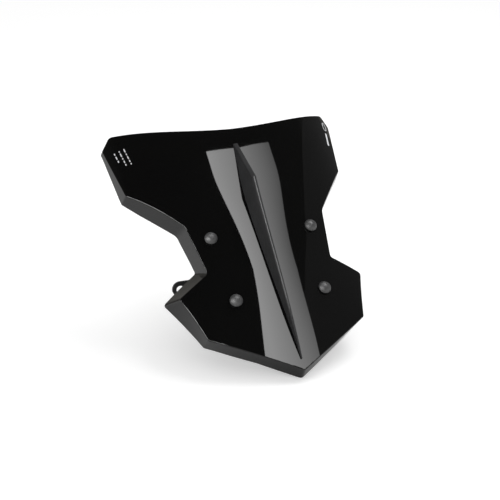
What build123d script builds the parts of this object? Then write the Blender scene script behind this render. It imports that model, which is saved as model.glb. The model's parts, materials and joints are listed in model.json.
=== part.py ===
"""Motorcycle windshield screen: a gloss black fly screen with a centre fin, on two ear brackets.

Frame, in millimetres: mounted attitude, +Z up, X across, and the screen faces -Y.
The origin is midway between the two ear holes that bolt to the motorcycle.
"""
from math import atan, cos, degrees, radians, sin
import os

from build123d import *

os.makedirs("parts", exist_ok=True)

# ---------------------------------------------------------------- driving sizes
# Attitude of the screen, and where its face datum lies from the ear holes
lean_back = 49.0
face_setback = 29.5
face_rise = 54.0

# Screen sheet, and the crown of its front: depth = square * x^2 + fourth * x^4
sheet = 3.0
crown_square = 0.00086
crown_fourth = 6.3e-8
edge_round = 1.5
notch_height = 160.0
top_edge_middle = (69.0, 168.0)
tip_drop = 160.0

# Panel bolts, two on each bracket, square to the sheet there; the waist stands clear of them
bolt_half_spacing = 57.5
waist_top_clear = 28.0
waist_bottom_clear = 18.0

# Outline corners of one side, as half width and height up the face
shoulder = (138.0, 190.0)
upper_ear = (148.0, 176.5)
lower_ear = (136.5, 105.0)
waist_top = (bolt_half_spacing + waist_top_clear, 40.0)
waist_bottom = (bolt_half_spacing + waist_bottom_clear, -24.5)
hip = (111.5, -44.5)
hip_low = (94.5, -102.5)
corner_round = 5.0
waist_top_round = 16.0

# How far the return wall runs outwards and upwards per millimetre of depth, at each corner
shoulder_flare = (0.0, 0.0)
upper_ear_flare = (0.10, 0.0)
lower_ear_flare = (0.13, -0.02)
waist_top_flare = (0.18, 0.12)
waist_bottom_flare = (0.22, 0.57)
hip_flare = (0.37, 0.29)
hip_low_flare = (-0.02, 0.11)
tip_flare = -0.16

# Back edge of the return walls, as half width and depth behind the face datum
tip_rim = 17.0
chin_rim = (45.0, 22.0)
waist_rim_inset = 1.5
waist_rim = (waist_top[0] - waist_rim_inset, 34.0)
hip_rim = (124.0, 51.5)

# Near the upper ear the back edge is set from the front surface instead: how far it lies in
# from the ear's corner and behind the surface there, and behind the surface above the ear
ear_rim_inset = 8.0
ear_rim_fall = 15.94
upper_rim = 7.0

# Centre fin: stations up the face, with height and half widths at each
fin_top = 137.0
fin_peak = 76.0
fin_middle = -4.0
fin_lower = -78.0
fin_tip = -146.0
fin_end_height = 0.9
fin_peak_height = 25.0
fin_middle_height = 16.5
fin_lower_height = 10.5
fin_top_half = 2.9
fin_peak_half = 8.4
fin_middle_half = 7.0
fin_lower_half = 3.2
fin_tip_half = 0.9
ridge_top_half = 2.3
ridge_peak_half = 2.7
ridge_middle_half = 2.4
ridge_lower_half = 1.8
ridge_tip_half = 0.6
ridge_crown = 0.22
fin_pad = 0.8
fin_pad_inset = 0.6

# Fin screws, driven from behind
fin_screw_heights = (100.0, 28.0, -44.0)
fin_screw_radius = 1.5
fin_screw_grip = 7.0
fin_screw_end_gap = 1.0
fin_screw_head_radius = 2.9
fin_screw_head = 2.0
fin_screw_drive = 1.1
fin_screw_drive_depth = 1.4
fin_washer_radius = 4.0
fin_washer_height = 0.8

# Panel bolt stacks: bolt, cap, grommet, sleeve, washers and nut
bolt_splay = 4.0
bolt_middle_height = -23.5
bolt_half_pitch = 41.0
bolt_radius = 2.5
bolt_length = 19.0
bolt_head_radius = 4.75
bolt_head_height = 2.75
bolt_head_skirt = 0.5
bolt_drive = 1.5
bolt_drive_depth = 1.65
bolt_end_chamfer = 0.5
grommet_radius = 5.0
grommet_flange_radius = 7.0
grommet_flange = 1.5
grommet_round = 0.5
sleeve_wall = 0.9
cap_radius = 7.5
cap_height = 6.2
cap_wall = 0.9
cap_seat_height = 1.0
washer_radius = 5.0
washer_height = 1.0
nut_across_flats = 8.0
nut_height = 5.0
nut_hex_height = 3.5
nut_collar_radius = 3.6

# Ear brackets, folded plate
plate = 3.0
strap_width = 22.0
strap_round = 5.5
leg_foot_low = -62.0
leg_foot_high = 8.0
ear_half_spacing = 95.5
ear_radius = 9.2
ear_hole_radius = 4.5
bend_round = 2.5

# Printed marks
mark_film = 0.15
dash_width = 1.1
dash_gap = 2.0
dash_pitch = 5.2
dash_top = (137.0, 165.0)
dash_rows = ((2.8, 4.5, 2.8), (1.6, 5.0, 2.2, 3.4, 2.2), (5.0, 2.2, 4.2, 2.6, 1.8))
badge = (138.5, 172.5)
badge_size = (3.2, 6.0)
badge_line = 0.9
badge_bar = (135.5, 152.0)
badge_bar_length = 20.0
badge_bar_width = 2.6

# Clearances
fit = 0.1
seat = 0.05
hole_play = 0.4

# ---------------------------------------------------------------- planes and curves
lean = radians(lean_back)
up_face = Vector(0, sin(lean), cos(lean))
outward = Vector(0, -cos(lean), sin(lean))
face = Plane(origin=(0, -face_setback, face_rise), x_dir=(1, 0, 0), z_dir=outward)
front_margin = 6.0
side_margin = 27.0
rim_margin = 8.5
slab_half = max(upper_ear[0], hip[0]) + side_margin
slab_reach = max(shoulder[1], tip_drop) + 2 * side_margin
spline_steps = 6


def depth_at(x):
    """Depth of the front surface behind the face datum, at a distance from the centre."""
    return crown_square * x**2 + crown_fourth * x**4


def slope_at(x):
    """Slope of the front surface across the screen."""
    return 2 * crown_square * x + 4 * crown_fourth * x**3


def front_points(gap):
    """Points along the front surface across the screen, set back by a gap."""
    steps = range(-spline_steps, spline_steps + 1)
    stations = [slab_half * step / spline_steps for step in steps]
    return [(x, depth_at(x) + gap) for x in stations]


def cross_plane(height):
    """A plane across the screen: its local x is X and its local y is depth."""
    origin = face.from_local_coords(Vector(0, height, 0))
    return Plane(origin=origin, x_dir=(1, 0, 0), z_dir=up_face)


def outline_corners(depth):
    """The outline's right half from shoulder to tip at a depth: each corner and its rounding."""
    sides = (
        (shoulder, shoulder_flare, corner_round),
        (upper_ear, upper_ear_flare, corner_round),
        (lower_ear, lower_ear_flare, corner_round),
        (waist_top, waist_top_flare, waist_top_round),
        (waist_bottom, waist_bottom_flare, corner_round),
        (hip, hip_flare, corner_round),
        (hip_low, hip_low_flare, corner_round),
    )
    right = []
    for (x, height), (flare_out, flare_up), rounding in sides:
        run = depth - depth_at(x)
        right.append((x + flare_out * run, height + flare_up * run, rounding))
    return [*right, (0, -tip_drop + tip_flare * depth, corner_round)]


def rounded(section, corners):
    """Round the corners of the active sketch, each by its own radius."""
    for x, y, rounding in corners:
        for side in {x, -x}:
            corner = section.vertices().sort_by_distance((side, y, 0))[0]
            fillet(corner, radius=rounding)


def outline(depth):
    """The rounded outline of the screen at a depth behind the face datum."""
    corners = outline_corners(depth)
    points = [(x, y) for x, y, rounding in corners]
    with BuildSketch(face.offset(-depth)) as section:
        with BuildLine():
            ThreePointArc((0, notch_height), top_edge_middle, points[0])
            Polyline(*points)
            mirror(about=Plane.YZ)
        make_face()
        rounded(section, corners)
    return section.sketch.face()


def core_outline(depth):
    """The outline inside the return walls at a depth, open past the top edge."""
    below_ear = outline_corners(depth)[1:]
    points = [(x, y) for x, y, rounding in below_ear]
    above = points[0][1] + side_margin
    with BuildSketch(face.offset(-depth)) as section:
        with BuildLine():
            Polyline((0, above), (points[0][0], above), *points)
            mirror(about=Plane.YZ)
        make_face()
        rounded(section, below_ear[1:])
        offset(amount=-sheet)
    return section.sketch.face()


def slab(height, gap, back_edge):
    """The region across the screen from its front surface, set back by a gap, to a back edge."""
    front = front_points(gap)
    with BuildSketch(cross_plane(height)) as profile:
        with BuildLine():
            Spline(*front)
            Polyline(front[-1], *back_edge, front[0])
        make_face()
    return profile.sketch


ear_rim_half = upper_ear[0] - ear_rim_inset
ear_rim = (ear_rim_half, depth_at(ear_rim_half) + ear_rim_fall)
far_depth = depth_at(slab_half) + ear_rim[1]
far_edge = ((slab_half, far_depth), (-slab_half, far_depth))
top_rims = [(x, depth_at(x) + upper_rim) for x in (slab_half, upper_ear[0])]
rim_right = (*top_rims, ear_rim, hip_rim, waist_rim, chin_rim)
rim_left = [(-x, depth) for x, depth in reversed(rim_right)]
loft_depths = (-front_margin, max(hip_rim[1], ear_rim[1]) + rim_margin)


def bolt_plane(side):
    """The plane on the front surface, midway between the two bolts of one side."""
    x = side * bolt_half_spacing
    tilt = atan(slope_at(x))
    origin = face.from_local_coords(Vector(x, bolt_middle_height, -depth_at(x)))
    across = Vector(cos(tilt), 0, 0) - outward * sin(tilt)
    return Plane(origin=origin, x_dir=across, z_dir=across.cross(up_face))


def bolt_places(side):
    """The two bolts of one side, in that side's bolt plane."""
    return ((side * bolt_splay, bolt_half_pitch), (-side * bolt_splay, -bolt_half_pitch))


def bolt_planes():
    """A plane at each bolt, on the front surface and square to the bolt."""
    return [
        Plane(
            origin=bolt_plane(side).from_local_coords(Vector(x, y, 0)),
            x_dir=bolt_plane(side).x_dir,
            z_dir=bolt_plane(side).z_dir,
        )
        for side in (-1, 1)
        for x, y in bolt_places(side)
    ]


def fin_screw_planes():
    """A plane on the back of the sheet at each fin screw, facing forwards."""
    return [
        Plane(
            origin=face.from_local_coords(Vector(0, height, -sheet - seat)),
            x_dir=(1, 0, 0),
            z_dir=outward,
        )
        for height in fin_screw_heights
    ]


def side_plane(plane):
    """The plane through a bolt's or screw's axis, for a profile turned about that axis."""
    return Plane(origin=plane.origin, x_dir=plane.x_dir, z_dir=plane.x_dir.cross(plane.z_dir))


def ring(plane, outer, inner, low, high):
    """A plain ring about a plane's normal, between two heights over the plane."""
    with BuildPart() as turned:
        with BuildSketch(plane.offset(low)):
            Circle(outer)
            Circle(inner, mode=Mode.SUBTRACT)
        extrude(amount=high - low)
    return turned.part


def return_edges(edges):
    """The edges where the front surface meets the return walls, up to near the upper ears."""
    stop = upper_ear[1] - 2 * corner_round
    chosen = []
    for edge in edges:
        places = [face.to_local_coords(edge @ end) for end in (0, 0.5, 1)]
        on_front = all(abs(place.Z + depth_at(place.X)) < seat for place in places)
        if on_front and places[1].Y < stop:
            chosen.append(edge)
    return chosen


def save(part, name):
    """Label a finished piece and write it under its node's name."""
    part.label = name
    export_step(part, f"parts/{name}.step")


# ---------------------------------------------------------------- screen sheet
with BuildPart() as core:
    loft([core_outline(depth) for depth in loft_depths], ruled=True)
    behind = slab(-slab_reach, sheet, far_edge)
    extrude(behind, amount=2 * slab_reach, dir=up_face, mode=Mode.INTERSECT)

with BuildPart() as screen:
    loft([outline(depth) for depth in loft_depths], ruled=True)
    across = slab(-slab_reach, 0, (*rim_right, (0, tip_rim), *rim_left))
    extrude(across, amount=2 * slab_reach, dir=up_face, mode=Mode.INTERSECT)
    add(core.part, mode=Mode.SUBTRACT)
    fillet(return_edges(screen.edges()), radius=edge_round)
    for plane in bolt_planes():
        with BuildSketch(plane.offset(-2 * sheet)):
            Circle(grommet_radius + fit)
        extrude(amount=4 * sheet, mode=Mode.SUBTRACT)
    for plane in fin_screw_planes():
        with BuildSketch(plane.offset(-sheet)):
            Circle(fin_screw_radius + hole_play)
        extrude(amount=4 * sheet, mode=Mode.SUBTRACT)
save(screen.part, "screen_panel")

# ---------------------------------------------------------------- printed marks, as thin film
def film(height):
    """The layer that lies on the front surface, for the printed marks."""
    lower = front_points(0)
    upper = front_points(-mark_film)[::-1]
    with BuildSketch(cross_plane(height)) as profile:
        with BuildLine():
            Spline(*lower)
            Line(lower[-1], upper[0])
            Spline(*upper)
            Line(upper[-1], lower[0])
        make_face()
    return extrude(profile.sketch, amount=2 * slab_reach, dir=up_face)


film_layer = film(-slab_reach)

ear_slant = degrees(atan((upper_ear[0] - lower_ear[0]) / (upper_ear[1] - lower_ear[1])))

with BuildPart() as dashes:
    with BuildSketch(face.offset(front_margin)):
        for row, lengths in enumerate(dash_rows):
            start = Vector(row * dash_pitch - dash_top[0], dash_top[1])
            along = Vector(0, -1).rotate(Axis.Z, ear_slant)
            for length in lengths:
                with Locations(start + along * (length / 2)):
                    Rectangle(dash_width, length, rotation=ear_slant)
                start += along * (length + dash_gap)
    extrude(amount=-2 * ear_rim[1])
    add(film_layer, mode=Mode.INTERSECT)
save(dashes.part, "print_dashes")

with BuildPart() as badge_mark:
    with BuildSketch(face.offset(front_margin)):
        with Locations(badge):
            Ellipse(badge_size[0], badge_size[1])
            Ellipse(badge_size[0] - badge_line, badge_size[1] - badge_line, mode=Mode.SUBTRACT)
        with Locations(badge_bar):
            SlotOverall(badge_bar_length, badge_bar_width, rotation=90 - ear_slant)
    extrude(amount=-2 * ear_rim[1])
    add(film_layer, mode=Mode.INTERSECT)
save(badge_mark.part, "print_badge")

# ---------------------------------------------------------------- centre fin
def fin_section(height, half, ridge, rise):
    """The fin's cross-section at a height up the face: straight flanks and a crowned ridge."""
    plane = Plane(
        origin=face.from_local_coords(Vector(0, height, fin_pad)), x_dir=(1, 0, 0), z_dir=up_face
    )
    with BuildSketch(plane) as section:
        with BuildLine():
            Polyline((-ridge, -rise), (-half, 0), (half, 0), (ridge, -rise))
            ThreePointArc((ridge, -rise), (0, -rise - ridge_crown * ridge), (-ridge, -rise))
        make_face()
    return section.sketch.face()


top_section = fin_section(fin_top, fin_top_half, ridge_top_half, fin_end_height)
peak_section = fin_section(fin_peak, fin_peak_half, ridge_peak_half, fin_peak_height)
middle_section = fin_section(fin_middle, fin_middle_half, ridge_middle_half, fin_middle_height)
lower_section = fin_section(fin_lower, fin_lower_half, ridge_lower_half, fin_lower_height)
tip_section = fin_section(fin_tip, fin_tip_half, ridge_tip_half, fin_end_height)

with BuildPart() as fin:
    loft([top_section, peak_section], ruled=True)
    loft([peak_section, middle_section, lower_section, tip_section])
    for plane in fin_screw_planes():
        with BuildSketch(plane):
            Circle(fin_screw_radius + seat)
        extrude(amount=sheet + fin_pad + fin_screw_grip + fin_screw_end_gap, mode=Mode.SUBTRACT)
save(fin.part, "centre_fin")

pad_halves = [
    half - fin_pad_inset
    for half in (fin_top_half, fin_peak_half, fin_middle_half, fin_lower_half, fin_tip_half)
]
pad_top = fin_top - fin_pad_inset
pad_tip = fin_tip + fin_pad_inset

with BuildPart() as pad:
    with BuildSketch(face):
        with BuildLine():
            peak = (pad_halves[1], fin_peak)
            below = ((pad_halves[2], fin_middle), (pad_halves[3], fin_lower))
            Polyline((0, pad_top), (pad_halves[0], pad_top), peak)
            Spline(peak, *below, (pad_halves[4], pad_tip))
            Line((pad_halves[4], pad_tip), (0, pad_tip))
            mirror(about=Plane.YZ)
        make_face()
        with Locations(*[(0, height) for height in fin_screw_heights]):
            Circle(fin_screw_radius + fit, mode=Mode.SUBTRACT)
    extrude(amount=fin_pad)
save(pad.part, "fin_pad")

# ---------------------------------------------------------------- fin screws and washers
with BuildPart() as fin_screws:
    for plane in fin_screw_planes():
        with BuildSketch(plane.offset(-fin_washer_height - fin_screw_head)):
            Circle(fin_screw_head_radius)
        extrude(amount=fin_screw_head)
        with BuildSketch(plane.offset(-fin_washer_height)):
            Circle(fin_screw_radius)
        extrude(amount=fin_washer_height + sheet + fin_pad + fin_screw_grip)
        with BuildSketch(plane.offset(-fin_washer_height - fin_screw_head)):
            RegularPolygon(fin_screw_drive, 6)
        extrude(amount=fin_screw_drive_depth, mode=Mode.SUBTRACT)
save(fin_screws.part, "fin_screws")

with BuildPart() as fin_washers:
    for plane in fin_screw_planes():
        add(ring(plane, fin_washer_radius, fin_screw_radius + fit, -fin_washer_height, 0))
save(fin_washers.part, "fin_washers")

# ---------------------------------------------------------------- panel bolt stacks
flange_edge = bolt_half_spacing + bolt_splay + grommet_flange_radius
flange_run = flange_edge - bolt_half_spacing
flange_fall = depth_at(flange_edge) - depth_at(bolt_half_spacing)
back_of_sheet = -sheet - flange_fall + slope_at(bolt_half_spacing) * flange_run
back_of_grommet = back_of_sheet - grommet_flange
back_of_strap = back_of_grommet - plate
cap_foot = grommet_flange
head_foot = cap_foot + cap_seat_height
sleeve_radius = bolt_radius + fit + sleeve_wall

with BuildPart() as grommets:
    for plane in bolt_planes():
        with BuildSketch(side_plane(plane)):
            with Locations((0, back_of_sheet / 2)):
                Rectangle(2 * grommet_radius, -back_of_sheet)
            for height in (grommet_flange / 2, back_of_sheet - grommet_flange / 2):
                with Locations((0, height)):
                    RectangleRounded(2 * grommet_flange_radius, grommet_flange, grommet_round)
            with Locations((-grommet_flange_radius, back_of_sheet / 2)):
                Rectangle(2 * grommet_flange_radius, 3 * sheet, mode=Mode.SUBTRACT)
        revolve(axis=Axis(plane.origin, plane.z_dir))
        with BuildSketch(plane.offset(-2 * sheet)):
            Circle(sleeve_radius + seat)
        extrude(amount=4 * sheet, mode=Mode.SUBTRACT)
save(grommets.part, "panel_grommets")

with BuildPart() as sleeves:
    for plane in bolt_planes():
        add(ring(plane, sleeve_radius, bolt_radius + fit, back_of_grommet, grommet_flange))
save(sleeves.part, "spacer_sleeves")

with BuildPart() as cap_seats:
    for plane in bolt_planes():
        seat_radius = cap_radius - cap_wall - seat
        add(ring(plane, seat_radius, bolt_radius + fit, cap_foot, head_foot))
save(cap_seats.part, "cap_seats")

with BuildPart() as bolts:
    for plane in bolt_planes():
        with BuildSketch(side_plane(plane)):
            with BuildLine():
                crown = (0, head_foot + bolt_head_height)
                rim = (bolt_head_radius, head_foot + bolt_head_skirt)
                TangentArc(crown, rim, tangent=(1, 0))
                end = head_foot - bolt_length
                chamfer_top = (bolt_radius, end + bolt_end_chamfer)
                chamfer_foot = (bolt_radius - bolt_end_chamfer, end)
                shank = ((bolt_radius, head_foot), chamfer_top, chamfer_foot)
                Polyline(rim, (bolt_head_radius, head_foot), *shank, (0, end), crown)
            make_face()
        revolve(axis=Axis(plane.origin, plane.z_dir))
        with BuildSketch(plane.offset(head_foot + bolt_head_height)):
            RegularPolygon(bolt_drive, 6)
        extrude(amount=-bolt_drive_depth, mode=Mode.SUBTRACT)
save(bolts.part, "panel_bolts")

with BuildPart() as caps:
    for plane in bolt_planes():
        with BuildSketch(side_plane(plane)):
            with BuildLine():
                skirt = cap_foot + cap_wall
                outside = (cap_radius, skirt)
                inside = (cap_radius - cap_wall, skirt)
                crown = (0, cap_foot + cap_height)
                hollow = (0, cap_foot + cap_height - cap_wall)
                TangentArc(crown, outside, tangent=(1, 0))
                TangentArc(hollow, inside, tangent=(1, 0))
                Polyline(outside, (cap_radius, cap_foot), (cap_radius - cap_wall, cap_foot), inside)
                Line(crown, hollow)
            make_face()
        revolve(axis=Axis(plane.origin, plane.z_dir))
save(caps.part, "screw_caps")

with BuildPart() as rear_washers:
    for plane in bolt_planes():
        low = back_of_strap - washer_height
        add(ring(plane, washer_radius, bolt_radius + fit, low, back_of_strap))
save(rear_washers.part, "rear_washers")

with BuildPart() as nuts:
    for plane in bolt_planes():
        top = back_of_strap - washer_height
        with BuildSketch(plane.offset(top)):
            RegularPolygon(nut_across_flats / 2, 6, major_radius=False)
        extrude(amount=-nut_hex_height)
        with BuildSketch(plane.offset(top)):
            Circle(nut_collar_radius)
        extrude(amount=-nut_height)
        with BuildSketch(plane.offset(top)):
            Circle(bolt_radius + seat)
        extrude(amount=-nut_height, mode=Mode.SUBTRACT)
save(nuts.part, "lock_nuts")


# ---------------------------------------------------------------- ear brackets
def bracket(side):
    """One folded bracket: a strap behind the sheet, a leg standing back, and an ear."""
    strap_plane = bolt_plane(side).offset(back_of_grommet)
    tilt = atan(slope_at(bolt_half_spacing))
    leg_half = bolt_half_spacing + strap_width / 2 * cos(tilt)
    foot = [
        strap_plane.from_local_coords(Vector(side * strap_width / 2, height, -plate / 2))
        for height in (leg_foot_low - bolt_middle_height, leg_foot_high - bolt_middle_height)
    ]
    with BuildPart() as folded:
        with BuildSketch(strap_plane):
            RectangleRounded(strap_width, 2 * bolt_half_pitch + strap_width, strap_round)
            with Locations(*bolt_places(side)):
                Circle(bolt_radius + hole_play, mode=Mode.SUBTRACT)
        extrude(amount=-plate)
        with BuildSketch(Plane(origin=(side * leg_half, 0, 0), x_dir=(0, 1, 0), z_dir=(1, 0, 0))):
            with BuildLine():
                Polyline(
                    (foot[0].Y, foot[0].Z),
                    (foot[1].Y, foot[1].Z),
                    (plate / 2, ear_radius),
                    (plate / 2, -ear_radius),
                    (-plate / 2, -ear_radius),
                    close=True,
                )
            make_face()
        extrude(amount=-side * plate)
        with BuildSketch(Plane(origin=(0, plate / 2, 0), x_dir=(1, 0, 0), z_dir=(0, -1, 0))):
            arm_start = leg_half - plate
            with Locations((side * (arm_start + ear_half_spacing) / 2, 0)):
                Rectangle(ear_half_spacing - arm_start, 2 * ear_radius)
            with Locations((side * ear_half_spacing, 0)):
                Circle(ear_radius)
                Circle(ear_hole_radius, mode=Mode.SUBTRACT)
        extrude(amount=plate)
        bends = folded.edges().filter_by(Axis.Z).sort_by_distance((side * leg_half, -plate / 2, 0))
        fillet(bends[0], radius=bend_round)
    return folded.part


save(bracket(-1), "bracket_left")
save(bracket(1), "bracket_right")
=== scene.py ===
"""Looks of the motorcycle windshield screen: finishes, refined meshes, studio and camera.

Everything is in metres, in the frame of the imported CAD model. The face frame used below has
x across the screen, s up its face and n outwards from it, with its origin on the face.
"""

import json
from math import radians, sin, cos

import bmesh
import bpy
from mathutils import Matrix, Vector


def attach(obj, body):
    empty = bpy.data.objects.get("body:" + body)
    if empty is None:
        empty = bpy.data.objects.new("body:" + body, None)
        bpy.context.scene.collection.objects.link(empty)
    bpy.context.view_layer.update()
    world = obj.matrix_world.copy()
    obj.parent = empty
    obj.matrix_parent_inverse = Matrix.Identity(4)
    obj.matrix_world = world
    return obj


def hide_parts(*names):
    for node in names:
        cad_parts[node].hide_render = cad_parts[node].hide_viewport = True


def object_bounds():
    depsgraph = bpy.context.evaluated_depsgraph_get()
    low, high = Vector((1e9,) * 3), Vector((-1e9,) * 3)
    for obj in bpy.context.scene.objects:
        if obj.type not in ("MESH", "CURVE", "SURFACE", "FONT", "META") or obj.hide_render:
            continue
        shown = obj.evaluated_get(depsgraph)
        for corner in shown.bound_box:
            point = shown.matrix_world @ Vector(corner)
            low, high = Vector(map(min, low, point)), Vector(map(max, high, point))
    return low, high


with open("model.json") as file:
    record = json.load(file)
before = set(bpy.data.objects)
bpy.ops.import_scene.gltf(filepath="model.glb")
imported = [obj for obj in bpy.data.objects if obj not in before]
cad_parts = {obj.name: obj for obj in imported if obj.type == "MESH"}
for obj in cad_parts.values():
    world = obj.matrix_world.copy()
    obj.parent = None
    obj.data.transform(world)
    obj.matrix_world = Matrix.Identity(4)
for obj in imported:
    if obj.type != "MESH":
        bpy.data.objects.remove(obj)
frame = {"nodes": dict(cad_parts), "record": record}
cad_low, cad_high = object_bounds()

MM = 0.001

# ---------------------------------------------------------------- the screen's face
LEAN = radians(49.0)
ACROSS = Vector((1, 0, 0))
UP_FACE = Vector((0, sin(LEAN), cos(LEAN)))
OUTWARD = Vector((0, -cos(LEAN), sin(LEAN)))
FACE_ORIGIN = Vector((0, -29.5, 54.0)) * MM
CROWN_SQUARE = 0.00086 / MM
CROWN_FOURTH = 6.3e-8 / MM**3


def on_face(x, s, n):
    """The point at face coordinates x, s and n."""
    return FACE_ORIGIN + ACROSS * x + UP_FACE * s + OUTWARD * n


def face_coordinates(point):
    """A point's x, s and n in the face frame."""
    offset = point - FACE_ORIGIN
    return offset.dot(ACROSS), offset.dot(UP_FACE), offset.dot(OUTWARD)


def crown_depth(x):
    """How far the front surface falls back from the face, at a distance from the centre."""
    return CROWN_SQUARE * x**2 + CROWN_FOURTH * x**4


def crown_slope(x):
    """The slope of the front surface across the screen."""
    return 2 * CROWN_SQUARE * x + 4 * CROWN_FOURTH * x**3


def smooth(t):
    """A smooth step from 0 to 1."""
    t = min(max(t, 0.0), 1.0)
    return t * t * (3 - 2 * t)


# ---------------------------------------------------------------- material tools
class Finish:
    """A node material on one Principled shader, with short calls for what varies over it."""

    def __init__(self, name):
        self.material = bpy.data.materials.new(name)
        self.material.use_nodes = True
        self.nodes = self.material.node_tree.nodes
        self.links = self.material.node_tree.links
        self.shader = self.nodes["Principled BSDF"]
        self.place = self.nodes.new("ShaderNodeTexCoord").outputs["Object"]
        self.normal = None

    def fixed(self, **values):
        """Constant shader sockets; an underscore stands for a space."""
        for name, value in values.items():
            self.shader.inputs[name.replace("_", " ")].default_value = value

    def stretched(self, scale, turn=(0, 0, 0)):
        """The object's coordinates, turned and then scaled."""
        mapping = self.nodes.new("ShaderNodeMapping")
        mapping.inputs["Scale"].default_value = scale
        mapping.inputs["Rotation"].default_value = turn
        self.links.new(self.place, mapping.inputs["Vector"])
        return mapping.outputs["Vector"]

    def noise(self, scale, detail=4.0, roughness=0.5, at=None):
        """Fractal noise, with its scale in features per metre."""
        node = self.nodes.new("ShaderNodeTexNoise")
        node.inputs["Scale"].default_value = scale
        node.inputs["Detail"].default_value = detail
        node.inputs["Roughness"].default_value = roughness
        self.links.new(at or self.place, node.inputs["Vector"])
        return node.outputs["Fac"]

    def cells(self, scale):
        """Distance to the nearest cell centre, with its scale in cells per metre."""
        node = self.nodes.new("ShaderNodeTexVoronoi")
        node.inputs["Scale"].default_value = scale
        self.links.new(self.place, node.inputs["Vector"])
        return node.outputs["Distance"]

    def between(self, value, low, high, start=0.3, end=0.7):
        """A value mapped from start..end to low..high."""
        node = self.nodes.new("ShaderNodeMapRange")
        settings = (("From Min", start), ("From Max", end), ("To Min", low), ("To Max", high))
        for name, number in settings:
            node.inputs[name].default_value = number
        self.links.new(value, node.inputs["Value"])
        return node.outputs["Result"]

    def added(self, first, second):
        """The sum of two values."""
        node = self.nodes.new("ShaderNodeMath")
        self.links.new(first, node.inputs[0])
        self.links.new(second, node.inputs[1])
        return node.outputs["Value"]

    def blend(self, factor, dark, light):
        """A colour between two, by a factor."""
        node = self.nodes.new("ShaderNodeMix")
        node.data_type = "RGBA"
        self.links.new(factor, node.inputs["Factor"])
        for socket, colour in (("A", dark), ("B", light)):
            entry = [i for i in node.inputs if i.name == socket and i.type == "RGBA"][0]
            if isinstance(colour, tuple):
                entry.default_value = (*colour, 1)
            else:
                self.links.new(colour, entry)
        return [o for o in node.outputs if o.type == "RGBA"][0]

    def edges(self, radius):
        """1 along convex edges and 0 elsewhere, for wear."""
        geometry = self.nodes.new("ShaderNodeNewGeometry")
        bevel = self.nodes.new("ShaderNodeBevel")
        bevel.inputs["Radius"].default_value = radius
        bevel.samples = 4
        dot = self.nodes.new("ShaderNodeVectorMath")
        dot.operation = "DOT_PRODUCT"
        self.links.new(bevel.outputs["Normal"], dot.inputs[0])
        self.links.new(geometry.outputs["Normal"], dot.inputs[1])
        return self.between(dot.outputs["Value"], 1, 0, start=0.86, end=0.98)

    def bump(self, height, distance, strength=1.0):
        """One more layer of relief; distance is the height of its full range, in metres."""
        node = self.nodes.new("ShaderNodeBump")
        node.inputs["Strength"].default_value = strength
        node.inputs["Distance"].default_value = distance
        self.links.new(height, node.inputs["Height"])
        if self.normal:
            self.links.new(self.normal, node.inputs["Normal"])
        self.normal = node.outputs["Normal"]

    def done(self, colour, roughness):
        """Link the colour, roughness and relief, and return the material."""
        self.links.new(colour, self.shader.inputs["Base Color"])
        self.links.new(roughness, self.shader.inputs["Roughness"])
        if self.normal:
            self.links.new(self.normal, self.shader.inputs["Normal"])
        return self.material


# ---------------------------------------------------------------- finishes
def gloss_acrylic():
    """Polished black sheet: deep, mirror-like, with faint polishing haze and a few hairlines."""
    finish = Finish("gloss_black_acrylic")
    finish.fixed(IOR=1.49)
    clouds = finish.noise(9, detail=3)
    hairlines = finish.noise(55, detail=2, at=finish.stretched((1, 14, 14), (0.5, 0.2, 0.9)))
    colour = finish.blend(clouds, (0.0034, 0.0034, 0.0034), (0.0052, 0.0052, 0.0051))
    haze = finish.between(clouds, 0.012, 0.03)
    lines = finish.between(hairlines, 0.0, 0.03, start=0.66, end=0.8)
    finish.bump(finish.noise(28, detail=1), 0.00001, strength=0.25)
    return finish.done(colour, finish.added(haze, lines))


def gloss_abs():
    """Gloss black moulded plastic: a shade softer than the sheet, with faint flow marks."""
    finish = Finish("gloss_black_abs")
    finish.fixed(IOR=1.53)
    flow = finish.noise(40, detail=3, at=finish.stretched((3, 1, 1)))
    colour = finish.blend(flow, (0.034, 0.034, 0.035), (0.055, 0.055, 0.056))
    finish.bump(finish.noise(160, detail=2), 0.00002, strength=0.2)
    return finish.done(colour, finish.between(flow, 0.10, 0.16))


def satin_plastic():
    """Satin dark grey moulded plastic with a fine spark-eroded grain."""
    finish = Finish("satin_black_plastic")
    finish.fixed(IOR=1.6, Specular_IOR_Level=1.0)
    grain = finish.noise(2600, detail=3)
    patches = finish.noise(120)
    colour = finish.blend(patches, (0.036, 0.036, 0.037), (0.050, 0.050, 0.051))
    finish.bump(grain, 0.00002, strength=0.4)
    return finish.done(colour, finish.between(patches, 0.46, 0.54))


def nylon():
    """Matt black nylon."""
    finish = Finish("black_nylon")
    patches = finish.noise(300)
    colour = finish.blend(patches, (0.018, 0.018, 0.018), (0.032, 0.032, 0.032))
    finish.bump(finish.noise(3000), 0.00003, strength=0.4)
    return finish.done(colour, finish.between(patches, 0.5, 0.65))


def foam():
    """Closed-cell black foam tape."""
    finish = Finish("black_foam")
    pores = finish.cells(3500)
    colour = finish.blend(pores, (0.012, 0.012, 0.012), (0.034, 0.034, 0.034))
    finish.bump(pores, 0.0001, strength=0.8)
    return finish.done(colour, finish.between(pores, 0.8, 0.95, start=0, end=0.6))


def rubber():
    """Matt black rubber with a dusty bloom."""
    finish = Finish("black_rubber")
    bloom = finish.noise(220, detail=6)
    colour = finish.blend(bloom, (0.012, 0.012, 0.012), (0.030, 0.030, 0.029))
    finish.bump(finish.noise(2200, detail=4), 0.00005, strength=0.5)
    return finish.done(colour, finish.between(bloom, 0.62, 0.8))


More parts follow.
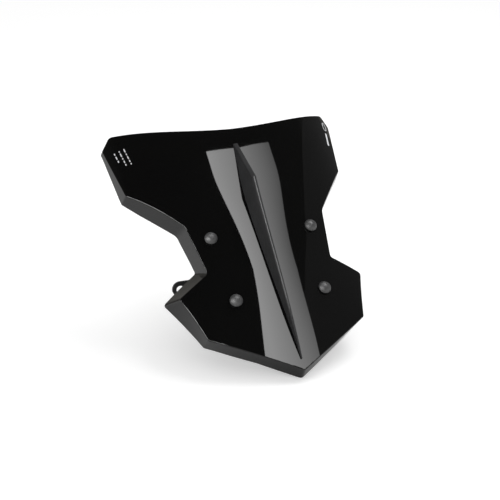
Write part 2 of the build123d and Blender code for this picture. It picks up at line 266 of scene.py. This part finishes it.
def zinc():
    """Bright zinc plate: pale blue-grey with faint yellowing and tool marks."""
    finish = Finish("zinc_steel")
    finish.fixed(Metallic=1.0)
    spangle = finish.noise(900, detail=3)
    tint = finish.noise(90)
    plate = finish.blend(spangle, (0.50, 0.52, 0.55), (0.66, 0.67, 0.69))
    colour = finish.blend(finish.between(tint, 0, 0.35, 0.5, 0.8), plate, (0.62, 0.57, 0.44))
    finish.bump(finish.noise(1800), 0.00002, strength=0.4)
    return finish.done(colour, finish.between(spangle, 0.22, 0.4))


def bolt_steel():
    """Black-oxide steel, rubbed brighter along its edges."""
    finish = Finish("black_bolt_steel")
    finish.fixed(Metallic=0.9)
    patches = finish.noise(700, detail=4)
    oxide = finish.blend(patches, (0.028, 0.028, 0.030), (0.060, 0.060, 0.063))
    colour = finish.blend(finish.edges(0.0003), oxide, (0.26, 0.26, 0.27))
    finish.bump(patches, 0.00002, strength=0.4)
    return finish.done(colour, finish.between(patches, 0.32, 0.5))


def powder_coat():
    """Satin black powder coat: fine orange peel, thinner and paler on its edges."""
    finish = Finish("black_powder_coat")
    finish.fixed(IOR=1.5)
    peel = finish.noise(1300, detail=2, roughness=0.4)
    patches = finish.noise(60)
    coat = finish.blend(patches, (0.012, 0.012, 0.0125), (0.022, 0.022, 0.0225))
    colour = finish.blend(finish.edges(0.0006), coat, (0.05, 0.05, 0.051))
    finish.bump(peel, 0.00008, strength=0.6)
    return finish.done(colour, finish.between(patches, 0.34, 0.46))


def white_print():
    """Screen-printed white ink, a little uneven and semi-matt."""
    finish = Finish("white_print")
    mottle = finish.noise(1500, detail=5)
    colour = finish.blend(finish.between(mottle, 0, 1), (0.66, 0.67, 0.69), (0.90, 0.91, 0.93))
    finish.bump(mottle, 0.00002, strength=0.5)
    return finish.done(colour, finish.between(mottle, 0.35, 0.55))


FINISHES = {
    "gloss_black_acrylic": gloss_acrylic(),
    "gloss_black_abs": gloss_abs(),
    "satin_black_plastic": satin_plastic(),
    "black_nylon": nylon(),
    "black_foam": foam(),
    "black_rubber": rubber(),
    "zinc_steel": zinc(),
    "black_bolt_steel": bolt_steel(),
    "black_powder_coat": powder_coat(),
    "white_print": white_print(),
}
SLOTS = {part["node"]: part["material_slot"] for part in frame["record"]["subparts"]}


def coat(piece, slot):
    """Give a piece one finish all over."""
    piece.data.materials.clear()
    piece.data.materials.append(FINISHES[slot])


for node, slot_name in SLOTS.items():
    coat(frame["nodes"][node], slot_name)


# ---------------------------------------------------------------- refined meshes
CAD_NORMAL = "cad_normal"
WELD = 0.002 * MM


def welded(node):
    """A bmesh copy of a CAD node with shared vertices joined; each corner keeps its CAD normal."""
    data = frame["nodes"][node].data.copy()
    kept = data.attributes.new(CAD_NORMAL, "FLOAT_VECTOR", "CORNER")
    kept.data.foreach_set("vector", [v for corner in data.corner_normals for v in corner.vector])
    mesh = bmesh.new()
    mesh.from_mesh(data)
    bmesh.ops.remove_doubles(mesh, verts=mesh.verts, dist=WELD)
    return mesh


def standing_for(node, mesh, name):
    """Make a piece from a bmesh, to be shown in place of a CAD node."""
    data = bpy.data.meshes.new(name)
    mesh.to_mesh(data)
    mesh.free()
    piece = bpy.data.objects.new(name, data)
    bpy.context.scene.collection.objects.link(piece)
    coat(piece, SLOTS[node])
    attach(piece, "root")
    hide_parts(node)
    return piece


# The grid over the front surface: its spacing, and how far it reaches from the face's origin
GRID_ACROSS = 4.0 * MM
GRID_UP = 8.0 * MM
REACH_ACROSS = 148 * MM
REACH_UP = 200 * MM
CUT_SNAP = 0.01 * MM

# A face is on the front surface if it lies this close to it and turns no further from it
ON_SURFACE = 0.12 * MM
FACING = cos(radians(12))

# The crown shades flatter near the top and bottom of the centre than at the waist: how much of
# its slope is lost there, and how far from the waist that takes
WAIST_HEIGHT = -32 * MM
FLATTER_TOP = (0.53, 135 * MM)
FLATTER_BOTTOM = (0.30, 120 * MM)
CENTRE_HALF = 46 * MM
CENTRE_FADE = 14 * MM


def flatness(x, s):
    """What the crown's slope is multiplied by for shading, at a point on the face."""
    drop, reach = FLATTER_TOP if s > WAIST_HEIGHT else FLATTER_BOTTOM
    centre = 1 - smooth((abs(x) - CENTRE_HALF) / CENTRE_FADE)
    return 1 - drop * smooth(abs(s - WAIST_HEIGHT) / reach) * centre


def front_normal(point):
    """The shading normal of the polished front surface at a point."""
    x, s, n = face_coordinates(point)
    return (OUTWARD + ACROSS * crown_slope(x) * flatness(x, s)).normalized()


def is_front(face):
    """Whether a face of the panel lies on its front surface."""
    for vert in face.verts:
        x, s, n = face_coordinates(vert.co)
        if abs(n + crown_depth(x)) > ON_SURFACE:
            return False
    x, s, n = face_coordinates(face.calc_center_median())
    true_normal = (OUTWARD + ACROSS * crown_slope(x)).normalized()
    return face.normal.dot(true_normal) > FACING


def cut_in_strips(mesh, direction, spacing, reach):
    """Cut the front faces by parallel planes."""
    steps = int(reach / spacing)
    for step in range(-steps, steps + 1):
        faces = [face for face in mesh.faces if face.tag]
        edges = list({edge for face in faces for edge in face.edges})
        verts = list({vert for face in faces for vert in face.verts})
        bmesh.ops.bisect_plane(
            mesh,
            geom=verts + edges + faces,
            dist=CUT_SNAP,
            plane_co=FACE_ORIGIN + direction * step * spacing,
            plane_no=direction,
        )
        for face in mesh.faces:
            face.tag = is_front(face)


def make_panel():
    """The screen's sheet, with a fine grid over its crowned front for clean reflections."""
    mesh = welded("screen_panel")
    for face in mesh.faces:
        face.tag = is_front(face)
    cut_in_strips(mesh, ACROSS, GRID_ACROSS, REACH_ACROSS)
    cut_in_strips(mesh, UP_FACE, GRID_UP, REACH_UP)
    for vert in {vert for face in mesh.faces if face.tag for vert in face.verts}:
        x, s, n = face_coordinates(vert.co)
        vert.co = on_face(x, s, -crown_depth(x))
    kept = mesh.loops.layers.float_vector[CAD_NORMAL]
    for face in mesh.faces:
        face.smooth = True
        for corner in face.loops:
            if face.tag:
                corner[kept] = front_normal(corner.vert.co)
    panel = standing_for("screen_panel", mesh, "panel_sheet")
    normals = panel.data.attributes[CAD_NORMAL].data
    panel.data.normals_split_custom_set([corner.vector.normalized() for corner in normals])
    panel.data.attributes.remove(panel.data.attributes[CAD_NORMAL])


make_panel()

# ---------------------------------------------------------------- studio
FLOOR_HALF = 30.0
FLOOR_GLOW = 0.42
FLOOR_GLOW_REFLECTED = 0.08


def floor_material():
    """Matt white studio floor, softly lit from below, and dimmer in reflections."""
    finish = Finish("studio_floor")
    finish.fixed(Specular_IOR_Level=0.0, Emission_Color=(1, 1, 1, 1))
    ray = finish.nodes.new("ShaderNodeLightPath").outputs["Is Glossy Ray"]
    glow = finish.between(ray, FLOOR_GLOW, FLOOR_GLOW_REFLECTED, start=0, end=1)
    finish.links.new(glow, finish.shader.inputs["Emission Strength"])
    shade = finish.noise(3)
    colour = finish.blend(shade, (0.80, 0.80, 0.80), (0.82, 0.82, 0.82))
    return finish.done(colour, finish.between(shade, 0.9, 1.0))


def studio_mesh(name, points, quads, surface):
    """A flat-faced piece of the studio."""
    data = bpy.data.meshes.new(name)
    data.from_pydata([tuple(point) for point in points], [], quads)
    data.materials.append(surface)
    piece = bpy.data.objects.new(name, data)
    bpy.context.scene.collection.objects.link(piece)
    return piece


floor_corners = ((-1, -1), (1, -1), (1, 1), (-1, 1))
floor_points = [(x * FLOOR_HALF, y * FLOOR_HALF, cad_low.z) for x, y in floor_corners]
studio_mesh("floor", floor_points, [(0, 1, 2, 3)], floor_material())


def glow_node(nodes, links, value, low, high, strengths):
    """A strength that follows a value from low to high."""
    fall = nodes.new("ShaderNodeMapRange")
    fall.inputs["From Min"].default_value = low
    fall.inputs["From Max"].default_value = high
    fall.inputs["To Min"].default_value = strengths[0]
    fall.inputs["To Max"].default_value = strengths[1]
    links.new(value, fall.inputs["Value"])
    return fall.outputs["Result"]


def softbox_material(strengths, left, right):
    """A softbox front, brighter towards its left side."""
    made = bpy.data.materials.new("softbox")
    made.use_nodes = True
    nodes, links = made.node_tree.nodes, made.node_tree.links
    nodes.remove(nodes["Principled BSDF"])
    place = nodes.new("ShaderNodeTexCoord")
    split = nodes.new("ShaderNodeSeparateXYZ")
    light = nodes.new("ShaderNodeEmission")
    links.new(place.outputs["Object"], split.inputs["Vector"])
    glow = glow_node(nodes, links, split.outputs["X"], left, right, strengths)
    links.new(glow, light.inputs["Strength"])
    links.new(light.outputs["Emission"], nodes["Material Output"].inputs["Surface"])
    return made


# The softbox hangs square to the screen's face, a metre in front of it: each row is its
# height up the face and where its left edge, middle and right edge are across it.
BOX_DISTANCE = 1.0
BOX_TOP = ((0.250, 0.721), (0.417, 0.737), (0.584, 0.769))
BOX_BEND = ((0.258, 0.43), (0.421, 0.445), (0.584, 0.46))
BOX_FOOT = ((0.155, 0.10), (0.305, 0.10), (0.455, 0.10))
BOX_GLOW = (6.4, 1.6)

box_points = [on_face(x, s, BOX_DISTANCE) for row in (BOX_TOP, BOX_BEND, BOX_FOOT) for x, s in row]
box_front = softbox_material(BOX_GLOW, BOX_TOP[0][0], BOX_TOP[2][0])
box_quads = [(i, i + 1, i + 4, i + 3) for i in (0, 1, 3, 4)]
softbox = studio_mesh("softbox", box_points, box_quads, box_front)


def card(name, directions, distance, glow):
    """A flat glowing card; its corners lie in these directions from the face."""
    surface = bpy.data.materials.new(name)
    surface.use_nodes = True
    shader = surface.node_tree.nodes["Principled BSDF"]
    shader.inputs["Base Color"].default_value = (0, 0, 0, 1)
    shader.inputs["Specular IOR Level"].default_value = 0
    shader.inputs["Emission Color"].default_value = (1, 1, 1, 1)
    shader.inputs["Emission Strength"].default_value = glow
    points = [FACE_ORIGIN + Vector(direction) * distance for direction in directions]
    return studio_mesh(name, points, [(0, 1, 2, 3)], surface)


# A dim wall on the right, which the right wing reflects
WALL_RIGHT = ((0.28, -0.43, 0.85), (0.98, 0.73, 0.1), (1.8, 0.5, 0.0), (0.9, -1.2, 0.3))
WALL_DISTANCE = 2.2
WALL_GLOW = 0.10

# A bright strip low on the left, which runs as a fine line along the folded edges
STRIP_LEFT = ((-0.6, -0.8, 0.17), (-0.6, -0.8, 0.5), (-1.0, 0.12, 0.48), (-1.0, 0.12, 0.17))
STRIP_DISTANCE = 1.6
STRIP_GLOW = 8.0

# A light high over the screen, for the soft highlight on the domed caps
LIGHT_HIGH = ((-0.2, -0.03, 0.98), (0.45, -0.01, 0.89), (0.45, 0.23, 0.86), (-0.2, 0.2, 0.96))
LIGHT_DISTANCE = 1.7
LIGHT_GLOW = 6.0

reflected = [
    softbox,
    card("right_wall", WALL_RIGHT, WALL_DISTANCE, WALL_GLOW),
    card("strip", STRIP_LEFT, STRIP_DISTANCE, STRIP_GLOW),
    card("high_light", LIGHT_HIGH, LIGHT_DISTANCE, LIGHT_GLOW),
]
# All of them show only in reflections
for piece in reflected:
    piece.visible_camera = False
    piece.visible_diffuse = False
    piece.visible_shadow = False

# Even light from all round for matt surfaces, and in reflections a dim, slightly warm room that
# glows at the horizon and fades to dark over this height
SKY_STRENGTH = 0.66
ROOM_HORIZON = 0.26
ROOM_OVERHEAD = 0.012
ROOM_FADE = 0.62
ROOM_TINT = (1.0, 0.97, 0.9, 1)

world = bpy.data.worlds.new("studio")
bpy.context.scene.world = world
world.use_nodes = True
nodes, links = world.node_tree.nodes, world.node_tree.links
sky = nodes["Background"]
sky.inputs["Color"].default_value = (1, 1, 1, 1)
sky.inputs["Strength"].default_value = SKY_STRENGTH
room = nodes.new("ShaderNodeBackground")
room.inputs["Color"].default_value = ROOM_TINT
direction = nodes.new("ShaderNodeTexCoord")
height = nodes.new("ShaderNodeSeparateXYZ")
links.new(direction.outputs["Generated"], height.inputs["Vector"])
room_glow = glow_node(nodes, links, height.outputs["Z"], 0, ROOM_FADE, (ROOM_HORIZON, ROOM_OVERHEAD))
links.new(room_glow, room.inputs["Strength"])
ray = nodes.new("ShaderNodeLightPath")
choice = nodes.new("ShaderNodeMixShader")
links.new(ray.outputs["Is Glossy Ray"], choice.inputs["Fac"])
links.new(sky.outputs["Background"], choice.inputs[1])
links.new(room.outputs["Background"], choice.inputs[2])
links.new(choice.outputs["Shader"], nodes["World Output"].inputs["Surface"])

# A key light over the right of the screen, so that the ground shadow falls to the left
KEY_PLACE = Vector((0.9, 0.25, 1.2))
KEY_SIZE = 0.9
KEY_POWER = 9

key_data = bpy.data.lights.new("key", "AREA")
key_data.size = KEY_SIZE
key_data.energy = KEY_POWER
key = bpy.data.objects.new("key", key_data)
bpy.context.scene.collection.objects.link(key)
key.location = FACE_ORIGIN + KEY_PLACE
key.rotation_euler = (FACE_ORIGIN - key.location).to_track_quat("-Z", "Y").to_euler()
key.visible_glossy = False
key.visible_camera = False

bpy.context.scene.view_settings.view_transform = "Standard"

# ---------------------------------------------------------------- camera
# A long lens, with its focal length in sensor widths, aimed a little left of and below the face
CAMERA_DISTANCE = 1.495
TOWARDS_CAMERA = Vector((-0.3367, -0.8699, 0.3606)).normalized()
FOCAL_WIDTHS = 2.6
AIM_LEFT = 0.0123
AIM_DOWN = 0.0048
FARTHEST_SEEN = 100

camera_data = bpy.data.cameras.new("camera")
camera_data.lens = camera_data.sensor_width * FOCAL_WIDTHS
camera_data.clip_end = FARTHEST_SEEN
camera = bpy.data.objects.new("camera", camera_data)
bpy.context.scene.collection.objects.link(camera)
camera.location = FACE_ORIGIN + TOWARDS_CAMERA * CAMERA_DISTANCE
right = TOWARDS_CAMERA.cross(Vector((0, 0, -1))).normalized()
upward = TOWARDS_CAMERA.cross(right)
aim = -TOWARDS_CAMERA - right * AIM_LEFT - upward * AIM_DOWN
camera.rotation_euler = aim.to_track_quat("-Z", "Y").to_euler()
bpy.context.scene.camera = camera
